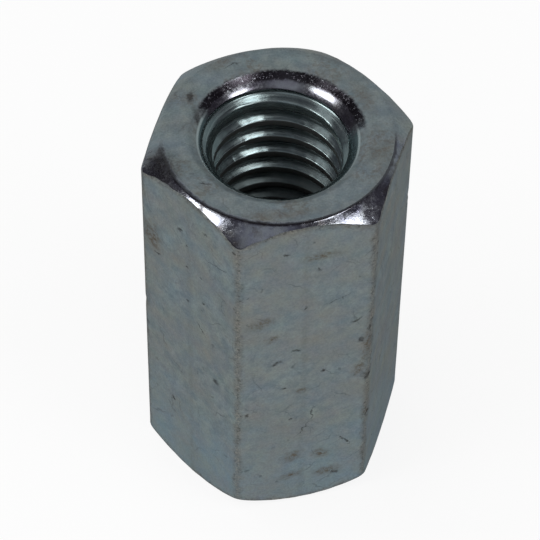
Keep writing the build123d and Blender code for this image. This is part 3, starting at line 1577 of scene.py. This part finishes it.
class PlatingShop:
    """Gives each surface of the nut its material."""

    def __init__(self, nut: NutBody) -> None:
        """Takes the nut to dress."""
        self.nut = nut
        self.effects = Effects(nut)

    def start(self, name: str, **settings: Source) -> Blank:
        """Starts a material.

        Args:
            name: What to call it.
            settings: The shader's uniform settings, with low lines for the spaces in their names.

        Returns:
            The blank material.
        """
        material = bpy.data.materials.new(name)
        material.use_nodes = True
        bench = NodeBench(material.node_tree)
        shader = material.node_tree.nodes["Principled BSDF"]
        bench.feed_all(shader, {setting.replace("_", " "): value for setting, value in settings.items()})
        return Blank(material, bench, shader, self.effects.use(bench, Effect.NUT_PLACES))

    def drawn_flats(self, finish: DrawnFinish) -> bpy.types.Material:
        """Makes the flats' material.

        Args:
            finish: Its colours and grain.

        Returns:
            The material.
        """
        blank = self.start("drawn_flats", Metallic=finish.metal, Specular_Tint=finish.rim,
                           Specular_IOR_Level=finish.sheen, IOR=finish.film)
        bench, place, places = blank.bench, blank.position, blank.places.outputs
        mottle = self.effects.use(bench, Effect.MOTTLE, Place=place).outputs
        wear = self.effects.use(bench, Effect.EDGE_WEAR, Place=place).outputs
        marks = self.effects.use(bench, Effect.FLAT_MARKS, Place=place).outputs
        scuffs = self.effects.use(bench, Effect.SCUFFS, Place=places["On flat"]).outputs
        drawn = bench.noise(bench.vector("MULTIPLY", places["On flat"], (5.0, 0.12, 1.0)), 1.0, 3.0, 0.6)
        centre = bench.spread(bench.math("ABSOLUTE", places["Across"]), 0.30, 0.04)
        centre = bench.times(centre, bench.spread(mottle["Blotch"], 0.1, 0.9))

        colour = bench.mix(mottle["Blotch"], finish.dull, finish.pale)
        warmth = bench.minus(1.0, mottle["Cloud"])
        colour = bench.mix(bench.times(warmth, 0.55), colour, finish.warm)
        clouded = bench.plus(bench.times(mottle["Cloud"], 0.5), 0.25)
        low = bench.times(bench.spread(places["Height"], 9.0, 1.0), clouded)
        colour = bench.tint(bench.mix(low, colour, finish.blue), mottle["Hue"])

        speckled = bench.spread(bench.noise(place, 4.2, 4.0, 0.7), 0.40, 0.62)
        stained = bench.times(marks["Stain"], bench.plus(bench.times(speckled, 0.75), 0.22))
        colour = bench.mix(bench.most(stained, bench.times(wear["Rubbed"], 0.42)), colour, finish.brown)
        edge = bench.place("Attribute", attribute_name="edge").outputs["Fac"]
        flecks = bench.times(bench.spread(edge, 0.55, 0.95), bench.spread(mottle["Grain"], 0.50, 0.62),
                             bench.spread(mottle["Blotch"], 0.1, 0.8, 0.08, 0.5))
        colour = bench.mix(flecks, colour, finish.rubbed)

        spot = bench.times(marks["Spot"], bench.spread(mottle["Grain"], 0.35, 0.65, 0.40, 0.90))
        within = bench.times(marks["Stain"], bench.spread(mottle["Grain"], 0.52, 0.68, 0.0, 0.50))
        dark = bench.most(
            spot, within, bench.times(wear["Speck"], 0.50), bench.times(centre, 0.14),
            bench.times(scuffs["Scratch"], finish.scratch), bench.times(scuffs["Speck"], finish.speck))
        colour = bench.mix(dark, colour, finish.dark)
        colour = bench.tint(colour, bench.spread(mottle["Grain"], 0.3, 0.7, *finish.grain))

        rough = bench.plus(bench.between(mottle["Blotch"], 0.46, 0.58), bench.times(dark, 0.1))
        raised = bench.plus(bench.times(mottle["Grain"], 0.6), bench.times(drawn, 0.5))
        dug = bench.plus(bench.times(scuffs["Scratch"], 0.3), bench.times(marks["Spot"], 0.5))
        return blank.finish(Look(colour, rough, bench.minus(raised, dug)), finish.grain_height)

    def faced_look(self, blank: Blank, finish: FacedFinish) -> Look:
        """Works out how the faced, plated metal looks.

        Args:
            blank: The material to work it out in.
            finish: Its colours and grain.

        Returns:
            The look.
        """
        bench, place = blank.bench, blank.position
        mottle, wear, marks, scuffs = (
            self.effects.use(bench, effect, Place=place).outputs
            for effect in (Effect.MOTTLE, Effect.EDGE_WEAR, Effect.END_MARKS, Effect.SCUFFS))
        colour = bench.mix(mottle["Blotch"], finish.dull, finish.pale)
        colour = bench.tint(colour, mottle["Hue"])

        speckled = bench.spread(bench.noise(place, 3.4, 5.0, 0.7), 0.42, 0.62)
        rim = bench.spread(blank.places.outputs["Radius"], 5.6, 6.2)
        brown = bench.most(
            bench.times(marks["Stain"], bench.plus(bench.times(speckled, 0.45), 0.4)),
            bench.times(speckled, bench.spread(mottle["Cloud"], 0.7, 0.1, 0.0, 0.6)),
            bench.times(rim, bench.minus(1.0, mottle["Cloud"]), 0.45),
            bench.times(wear["Speck"], 0.3))
        colour = bench.mix(brown, colour, finish.brown)

        spot = bench.times(marks["Spot"], bench.spread(mottle["Grain"], 0.3, 0.6, 0.45, 0.8))
        black = bench.times(marks["Soot"], bench.spread(mottle["Grain"], 0.3, 0.62, 0.95, 0.6))
        dark = bench.most(spot, black, bench.times(scuffs["Scratch"], finish.scratch),
                          bench.times(scuffs["Speck"], finish.speck))
        colour = bench.mix(dark, colour, finish.dark)
        colour = bench.tint(colour, bench.spread(mottle["Grain"], 0.3, 0.7, *finish.grain))
        dug = bench.plus(bench.times(scuffs["Scratch"], 0.3), marks["Spot"])
        height = bench.minus(bench.times(mottle["Grain"], 0.7), dug)
        return Look(colour, bench.between(mottle["Blotch"], 0.44, 0.54), height)

    def faced_ends(self, finish: FacedFinish) -> bpy.types.Material:
        """Makes the end faces' material.

        Args:
            finish: Its colours and grain.

        Returns:
            The material.
        """
        blank = self.start("faced_ends", Metallic=finish.metal)
        return blank.finish(self.faced_look(blank, finish), finish.grain_height)

    def turned_look(self, blank: Blank, finish: TurnedFinish, torn: Source) -> Look:
        """Works out how a turned wall looks.

        Args:
            blank: The material to work it out in.
            finish: Its colours.
            torn: How much of the wall is torn, from 0 to 1.

        Returns:
            The look.
        """
        bench, place = blank.bench, blank.position
        mottle, wear, marks = (
            self.effects.use(bench, effect, Place=place).outputs
            for effect in (Effect.MOTTLE, Effect.EDGE_WEAR, Effect.END_MARKS))
        round_bore = blank.places.outputs["Round"]
        chatter = self.effects.use(bench, Effect.CHATTER, Round=round_bore, Place=place, Torn=torn).outputs
        violet = bench.times(bench.plus(chatter["Smear"], mottle["Blotch"]), 0.5)
        colour = bench.mix(violet, finish.bright, finish.violet)
        brown = bench.times(bench.spread(mottle["Cloud"], 0.45, 0.9), chatter["Patch"])
        brown = bench.most(bench.times(brown, 0.7), bench.times(wear["Speck"], 0.5))
        colour = bench.mix(brown, colour, finish.brown)
        black = bench.times(marks["Soot"], bench.spread(mottle["Grain"], 0.3, 0.62, 0.97, 0.6))
        colour = bench.mix(black, colour, finish.soot)
        rough = bench.spread(mottle["Grain"], 0.3, 0.7, finish.roughness - 0.04, finish.roughness + 0.08)
        rough = bench.plus(rough, bench.times(chatter["Patch"], 0.08), bench.times(black, 0.15))
        return Look(colour, rough, chatter["Height"])

    def shiny_side(self, blank: Blank, finish: TurnedFinish) -> tuple[Source, Source, Source]:
        """Tells the shiny side of a turned wall from its matt side.

        Args:
            blank: The wall's material.
            finish: The wall's finish.

        Returns:
            A mask, 1 on the shiny side, how squarely the wall lies on that side, from -1 to 1,
            and the raggedness of the mask's border.
        """
        bench = blank.bench
        ragged = bench.minus(bench.noise(blank.position, 2.4, 4.0, 0.65), 0.5)
        level = bench.vector("NORMALIZE", bench.vector("MULTIPLY", blank.position, (1.0, 1.0, 0.0)))
        facing = bench.vector("DOT_PRODUCT", level, toward(finish.shiny_toward, 0.0))
        lifted = bench.plus(facing, bench.times(ragged, 0.35))
        border, blur = math.cos(math.radians(finish.shiny_reach)), 0.11
        return bench.spread(lifted, border - blur, border + blur), facing, ragged

    def blend(self, blank: Blank, shiny: Source, matt: Look, turned: Look, matt_metal: Source,
              depth: float) -> bpy.types.Material:
        """Dresses a wall that is matt on one side and shiny on the other.

        Args:
            blank: The wall's material.
            shiny: A mask, 1 on the shiny side.
            matt: The matt side's look.
            turned: The shiny side's look, with the height map of the whole wall.
            matt_metal: How metallic the matt side is.
            depth: How far a height of 1 stands above one of 0.

        Returns:
            The material.
        """
        bench = blank.bench
        colour = bench.mix(shiny, matt.colour, turned.colour)
        rough = bench.between(shiny, matt.roughness, turned.roughness)
        metal = bench.between(shiny, matt_metal, 1.0)
        return blank.finish(Look(colour, rough, turned.height), depth, metal)

    def turned_chamfer(self, finish: TurnedFinish, plated: FacedFinish) -> bpy.types.Material:
        """Makes the chamfers' material.

        Args:
            finish: The shiny side's colours and texture.
            plated: The matt side's colours.

        Returns:
            The material.
        """
        blank = self.start("turned_chamfer", Metallic=1.0, Specular_Tint=plated.rim)
        bench, foot = blank.bench, self.nut.chamfer.foot_radius / MM
        front, _, ragged = self.shiny_side(blank, finish)
        wandering = bench.plus(blank.places.outputs["Radius"], bench.times(ragged, 0.3))
        shiny = bench.times(front, bench.spread(wandering, foot - 0.22, foot - 0.08))
        turned = self.turned_look(blank, finish, finish.torn)
        # Painted shade: a soft dark band in the soot colour along the chamfer's foot, where it rolls into
        # the end face.
        foot_shade = bench.spread(bench.math("ABSOLUTE", bench.minus(wandering, foot - 0.02)), 0.14, 0.03)
        foot_shaded = bench.mix(bench.times(foot_shade, 0.7), turned.colour, finish.soot)
        turned = replace(turned, colour=foot_shaded)
        matt = self.faced_look(blank, plated)
        return self.blend(blank, shiny, matt, turned, plated.metal, finish.tear_height)

    def countersink(self, finish: CountersinkFinish, plated: FacedFinish) -> bpy.types.Material:
        """Makes the countersinks' material.

        Args:
            finish: The torn side's colours and texture.
            plated: The matt side's colours.

        Returns:
            The material.
        """
        blank = self.start("countersink", Metallic=1.0)
        bench, radius = blank.bench, blank.places.outputs["Radius"]
        throat, mouth = self.nut.countersink.throat[0] / MM, self.nut.countersink.mouth_radius / MM
        torn_side, facing, ragged = self.shiny_side(blank, finish)
        wandering = bench.plus(radius, bench.times(ragged, 0.25))
        shiny = bench.times(torn_side, bench.spread(wandering, mouth + 0.03, mouth - 0.17))
        torn = bench.times(bench.spread(radius, throat - 0.04, throat + 0.12, 0.04, 1.0), finish.torn)
        # Painted highlight: a thin bright line along the throat, on the matt side.
        from_throat = bench.math("ABSOLUTE", bench.minus(radius, throat))
        throat_highlight = bench.times(bench.spread(from_throat, 0.09, 0.02), 0.8)
        rolled = bench.spread(radius, throat + 0.12, throat - 0.04)

        turned = self.turned_look(blank, finish, torn)
        # Painted shade: on the torn side, the cone outside the throat and the edges of that side take the
        # soot colour, broken by small lighter specks.
        back_shade = bench.most(bench.spread(wandering, throat - 0.06, throat + 0.08),
                           bench.spread(facing, 0.76, 0.62, 0.0, 0.55))
        shade_kept = bench.spread(bench.noise(blank.position, 7.0, 3.0, 0.7), 0.54, 0.66, 1.0, 0.15)
        back_shaded_colour = bench.mix(bench.times(back_shade, shade_kept), turned.colour, finish.soot)
        turned = replace(turned, colour=back_shaded_colour, height=bench.times(turned.height, shiny))

        matt = self.faced_look(blank, plated)
        matt_colour = bench.mix(throat_highlight, bench.mix(rolled, matt.colour, finish.rolled), finish.throat_highlight)
        matt_rough = bench.minus(matt.roughness, bench.times(rolled, 0.25))
        matt_metal = bench.between(bench.most(rolled, throat_highlight), plated.metal, 0.9)
        matt = replace(matt, colour=matt_colour, roughness=matt_rough)
        return self.blend(blank, shiny, matt, turned, matt_metal, finish.tear_height)

    def tapped_thread(self, finish: TappedFinish) -> bpy.types.Material:
        """Makes the thread's material.

        Args:
            finish: Its colours.

        Returns:
            The material.
        """
        blank = self.start("tapped_thread", Metallic=finish.metal)
        bench, places = blank.bench, blank.places.outputs
        mottle = self.effects.use(bench, Effect.MOTTLE, Place=blank.position).outputs
        streak = bench.noise(places["Along thread"], 2.6, 4.0, 0.65)
        tone = bench.times(bench.spread(streak, 0.35, 0.65), 0.6)
        tone = bench.plus(tone, bench.times(mottle["Blotch"], 0.4))
        colour = bench.mix(tone, finish.deep, finish.flank)

        # Painted shade deep in the bore: plated runs from 1 near the ends to 0 at the darkest depth. There
        # the colour darkens to the bottom share, the metal is less metallic and the surface rougher.
        half_length = self.nut.length / MM / 2
        start, darkest_depth = finish.shading_depths
        from_middle = bench.math("ABSOLUTE", bench.minus(places["Height"], half_length))
        plated = bench.spread(from_middle, half_length - darkest_depth, half_length - start)
        colour = bench.tint(colour, bench.between(plated, finish.bottom, 1.0))
        # Painted shade: the ridges' tops take the darker ridge colour, and are made less metallic and
        # rougher.
        crest = self.nut.thread.crest_radius / MM
        ridge = bench.spread(places["Radius"], crest + 0.035, crest + 0.008)
        colour = bench.mix(ridge, colour, finish.ridge)

        metal = bench.between(plated, finish.deep_metal, finish.metal)
        metal = bench.between(ridge, metal, finish.ridge_metal)
        rough = bench.spread(streak, 0.3, 0.7, finish.roughness - 0.05, finish.roughness + 0.08)
        rough = bench.plus(rough, bench.between(plated, 0.2, 0.0), bench.times(ridge, 0.2))
        height = bench.plus(streak, bench.times(mottle["Grain"], 0.12))
        return blank.finish(Look(colour, rough, height), finish.streak_height, metal)

    def dress(self, piece: bpy.types.Object) -> None:
        """Gives the nut its materials, in the order of the surfaces.

        Args:
            piece: The nut's object.
        """
        made = {
            Surface.DRAWN_FLAT: self.drawn_flats(DrawnFinish()),
            Surface.FACED_END: self.faced_ends(FacedFinish()),
            Surface.TURNED_CHAMFER: self.turned_chamfer(TurnedFinish(), FacedFinish()),
            Surface.COUNTERSINK: self.countersink(CountersinkFinish(), FacedFinish()),
            Surface.TAPPED_THREAD: self.tapped_thread(TappedFinish()),
        }
        for surface in Surface:
            piece.data.materials.append(made[surface])


@dataclass(frozen=True)
class Lamp:
    """A soft rectangular lamp that faces the nut.

    Attributes:
        name: What to call it.
        azimuth: Its direction from the nut, in degrees round from +X.
        elevation: Its height above the floor, in degrees.
        width: Its width.
        height: Its height.
        radiance: How bright its face is, where white paper in the studio is about 1.
        lean: How far its end of greater azimuth is raised, in degrees.
        distance: How far from the nut it stands.
    """

    name: str
    azimuth: float
    elevation: float
    width: float
    height: float
    radiance: float
    lean: float = 0.0
    distance: float = 0.6

    def build(self, aim: Vector) -> None:
        """Hangs the lamp.

        Args:
            aim: The point that it faces.
        """
        away = toward(self.azimuth, self.elevation)
        data = bpy.data.lights.new(self.name, "AREA")
        data.shape = "RECTANGLE"
        data.size, data.size_y = self.width, self.height
        data.energy = self.radiance * math.pi * self.width * self.height
        lamp = add_object(self.name, data)
        lamp.location = aim + away * self.distance
        lamp.rotation_mode = "QUATERNION"
        leaning = Quaternion((0.0, 0.0, 1.0), math.radians(self.lean))
        lamp.rotation_quaternion = away.to_track_quat("Z", "Y") @ leaning
        lamp.visible_camera = False


@dataclass(frozen=True)
class Camera:
    """The camera at the photograph's place.

    Attributes:
        azimuth: Its direction, in degrees, 0 looking along +Y.
        elevation: Its height above the level, in degrees.
        roll: How far it leans over, in degrees.
        distance: From the middle of the nut.
        aside: How far the nut's middle stands right of the picture's.
        above: How far the nut's middle stands above the picture's.
        lens: Its focal length in millimetres.
        sensor: Its picture's width in millimetres.
        nearest: How near it sees things.
    """

    azimuth: float = -14.4626
    elevation: float = 50.4617
    roll: float = 0.9672
    distance: float = 157.384 * MM
    aside: float = 0.307 * MM
    above: float = -0.590 * MM
    lens: float = 189.72
    sensor: float = 36.0
    nearest: float = 5 * MM

    def build(self, aim: Vector) -> None:
        """Sets the camera up.

        Args:
            aim: The middle of the nut.
        """
        azimuth, elevation, roll = map(math.radians, (self.azimuth, self.elevation, self.roll))
        away = math.cos(elevation)
        back = Vector((math.sin(azimuth) * away, -math.cos(azimuth) * away, math.sin(elevation)))
        level = Vector((math.cos(azimuth), math.sin(azimuth), 0.0))
        upright = back.cross(level)
        right = level * math.cos(roll) + upright * math.sin(roll)
        up = upright * math.cos(roll) - level * math.sin(roll)
        data = bpy.data.cameras.new("camera")
        data.lens, data.sensor_width = self.lens, self.sensor
        data.clip_start = self.nearest
        camera = add_object("camera", data)
        place = aim - right * self.aside - up * self.above + back * self.distance
        turn = Matrix((right, up, back)).transposed().to_4x4()
        camera.matrix_world = Matrix.Translation(place) @ turn
        bpy.context.scene.camera = camera


@dataclass(frozen=True)
class Studio:
    """A pale floor, a pale room and soft lamps.

    Attributes:
        floor_size: Width of the floor.
        footprint: Radius of the patch under the nut, which has no glow of its own.
        floor_glow: Share of the floor that shows plain white, where the rest keeps the shadow.
        paper: The floor's colour.
        room_light: The room's brightness on matt surfaces, from its brightest side.
        room_shade: The same from the side opposite.
        dome: What shiny metal sees overhead and to the sides.
        backdrop: What shiny metal sees behind the nut.
        front_wall: What shiny metal sees in front, between the lamps.
        backdrop_at: The backdrop's middle, in degrees round from +X and degrees up.
        front_wall_at: The front wall's middle, in the same way.
        lit_from: The room's brightest side, in degrees round from +X.
        floor_gap: How far the floor lies under the nut.
        LAMPS: The lamps.
    """

    floor_size: float = 3.0
    footprint: float = 6.0 * MM
    floor_glow: float = 0.86
    paper: Colour = (0.86, 0.86, 0.86, 1.0)
    room_light: float = 1.07
    room_shade: float = 0.18
    dome: Colour = (0.060, 0.055, 0.066, 1.0)
    backdrop: Colour = (0.31, 0.335, 0.345, 1.0)
    front_wall: Colour = (0.32, 0.335, 0.36, 1.0)
    backdrop_at: tuple[float, float] = (70.0, 8.0)
    front_wall_at: tuple[float, float] = (-113.0, 49.0)
    lit_from: float = -173.0
    floor_gap: float = 0.02 * MM

    LAMPS: ClassVar[tuple[Lamp, ...]] = (
        Lamp("left_lamp", -172.5, 43.0, width=0.25, height=0.115, radiance=6.0, lean=22.0),
        Lamp("right_lamp", -46.0, 38.3, width=0.20, height=0.145, radiance=5.8, lean=-20.0),
        Lamp("high_left_lamp", 171.0, 60.0, width=0.16, height=0.09, radiance=0.9),
        Lamp("high_right_lamp", -35.0, 62.5, width=0.18, height=0.10, radiance=5.0),
    )

    def unshaded(self, bench: NodeBench) -> bpy.types.NodeSocket:
        """Tells what is seen, straight or mirrored, from the light that falls on things.

        Args:
            bench: The tree to build in.

        Returns:
            1 for rays from the camera, mirrors and glass, and 0 for other light.
        """
        rays = bench.place("LightPath").outputs
        return bench.most(rays["Is Camera Ray"], rays["Is Glossy Ray"], rays["Is Transmission Ray"])

    def build_floor(self) -> None:
        """Lays the floor, just under the nut's lower end.

        To the camera and in mirrors most of it is plain white, and the rest shows the nut's shadow.
        """
        half = self.floor_size / 2
        mesh = bpy.data.meshes.new("floor")
        corners = [(x * half, y * half, -self.floor_gap) for x, y in ((-1, -1), (1, -1), (1, 1), (-1, 1))]
        mesh.from_pydata(corners, [], [(0, 1, 2, 3)])
        material = bpy.data.materials.new("pale_floor")
        material.use_nodes = True
        material.cycles.emission_sampling = "NONE"
        bench = NodeBench(material.node_tree)
        shader = material.node_tree.nodes["Principled BSDF"]
        bench.feed_all(shader, {"Base Color": self.paper, "Roughness": 1.0, "Specular IOR Level": 0.0})
        glow = bench.place("Emission")
        bench.feed(glow.inputs["Color"], WHITE)
        from_axis = bench.vector("LENGTH", bench.place("TexCoord").outputs["Object"])
        open_floor = bench.math("GREATER_THAN", from_axis, self.footprint)
        share = bench.times(self.unshaded(bench), open_floor, self.floor_glow)
        blend = bench.place("MixShader")
        for socket, source in zip(blend.inputs, (share, shader.outputs[0], glow.outputs[0])):
            bench.feed(socket, source)
        bench.feed(material.node_tree.nodes["Material Output"].inputs["Surface"], blend.outputs[0])
        mesh.materials.append(material)
        floor = add_object("floor", mesh)

    def build_room(self) -> None:
        """Surrounds the nut with a room.

        It is white to the camera. It lights matt things softly, and more from the left. Shiny metal
        sees a pale backdrop behind the nut, a dim ceiling and a pale wall in front.
        """
        world = bpy.data.worlds.new("room")
        world.use_nodes = True
        world.cycles.sampling_method = "NONE"
        bpy.context.scene.world = world
        bench = NodeBench(world.node_tree)
        surround = world.node_tree.nodes["Background"]
        surround.inputs["Strength"].default_value = 1.0
        direction = bench.place("TexCoord").outputs["Generated"]
        behind = bench.spread(bench.vector("DISTANCE", direction, toward(*self.backdrop_at)), 1.15, 0.92)
        before = bench.spread(bench.vector("DISTANCE", direction, toward(*self.front_wall_at)), 0.42, 0.14)
        sheen = bench.mix(before, bench.mix(behind, self.dome, self.backdrop), self.front_wall)
        side = bench.vector("DOT_PRODUCT", direction, toward(self.lit_from, 0.0))
        matt = bench.spread(side, -0.72, 0.34, self.room_shade, self.room_light)
        rays = bench.place("LightPath").outputs
        mirrored = bench.most(rays["Is Glossy Ray"], rays["Is Transmission Ray"])
        colour = bench.mix(mirrored, matt, sheen)
        colour = bench.mix(rays["Is Camera Ray"], colour, WHITE)
        bench.feed(surround.inputs["Color"], colour)

    def build(self, aim: Vector) -> None:
        """Sets up the floor, the room and the lamps.

        Args:
            aim: The middle of the nut.
        """
        self.build_floor()
        self.build_room()
        for lamp in self.LAMPS:
            lamp.build(aim)
        bpy.context.scene.view_settings.view_transform = "Standard"


def main() -> None:
    """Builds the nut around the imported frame, and then the studio and the camera.
    """
    logging.basicConfig(level=logging.INFO, format="%(message)s")
    log = logging.getLogger("coupling_nut")
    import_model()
    low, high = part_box("coupling_nut")
    flat_radius = high.y
    nut = NutBody(
        bar=HexagonBar(flat_radius, edge_radius=0.65 * MM),
        length=high.z - low.z,
        chamfer=CrownedWall(
            foot_radius=flat_radius - 0.275 * MM, far_radius=flat_radius / math.cos(SECTOR / 2),
            start_slope=34.0, finish_slope=48.0),
        countersink=Countersink(
            mouth_radius=4.75 * MM, bore_radius=3.375 * MM, slope=35.0, throat_radius=2.0 * MM),
        thread=TappedThread(),
    )
    piece = nut.build()
    PlatingShop(nut).dress(piece)
    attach(piece, "root")
    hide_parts("coupling_nut")
    log.info("%s: %d vertices, %d faces", piece.name, len(piece.data.vertices), len(piece.data.polygons))
    aim = (low + high) / 2
    Studio().build(aim)
    Camera().build(aim)
    log.info("studio: %d lamps", len(Studio.LAMPS))


if __name__ == "__main__":
    main()
